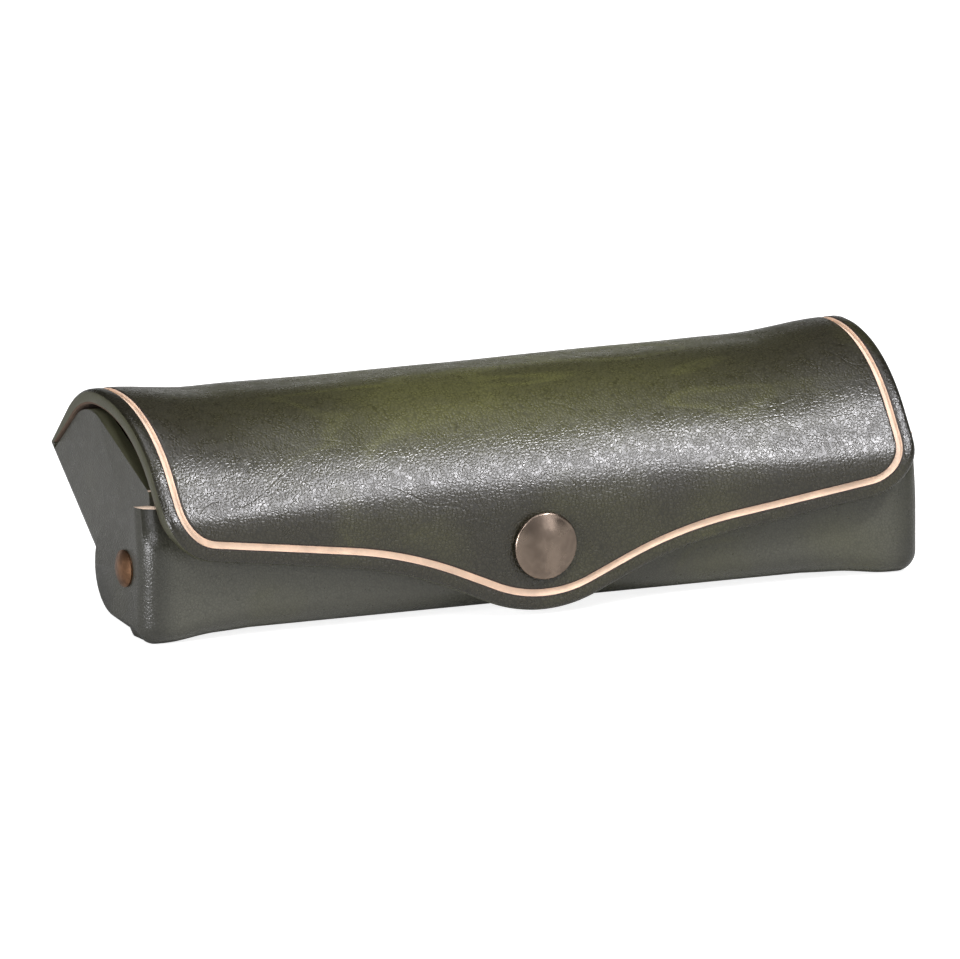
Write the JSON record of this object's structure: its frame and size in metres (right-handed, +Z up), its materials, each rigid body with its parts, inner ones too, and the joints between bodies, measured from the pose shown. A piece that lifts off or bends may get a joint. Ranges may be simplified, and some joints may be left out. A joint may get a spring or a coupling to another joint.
{
  "type": "glasses case",
  "caption": "Long moulded leather glasses case: a folded body with riveted end folds and a hinged lid whose tongue snaps to the front.",
  "frame": {"origin": "middle of the closed case's bounding box at floor height, upright on its bottom fold as in the picture", "axes": "+X along the case, left to right seen from the front; -Y is the front with the snap; +Z up"},
  "size_m": [0.1702, 0.0584, 0.046],
  "materials": {
    "green_leather": "waxed, fine grain, natural cut edges",
    "antique_brass": "aged, satin",
    "bronze": "aged, satin",
    "spring_wire": "drawn wire"
  },
  "bodies": {
    "case": {"case_body": "green_leather", "snap_stud": "antique_brass", "stud_eyelet": "antique_brass", "left_rivet_cap": "bronze", "left_rivet_base": "bronze", "right_rivet_cap": "bronze", "right_rivet_base": "bronze"},
    "cover": {"lid": "green_leather", "snap_cap": "antique_brass", "cap_stem": "antique_brass", "snap_socket": "antique_brass", "socket_spring": "spring_wire"}
  },
  "joints": [
    {"name": "lid_hinge", "type": "hinge", "parent": "case", "child": "cover", "pos_m": [0, 0.02763, 0.03032], "axis": [-1, 0, 0], "range_deg": [0, 120]}
  ]
}
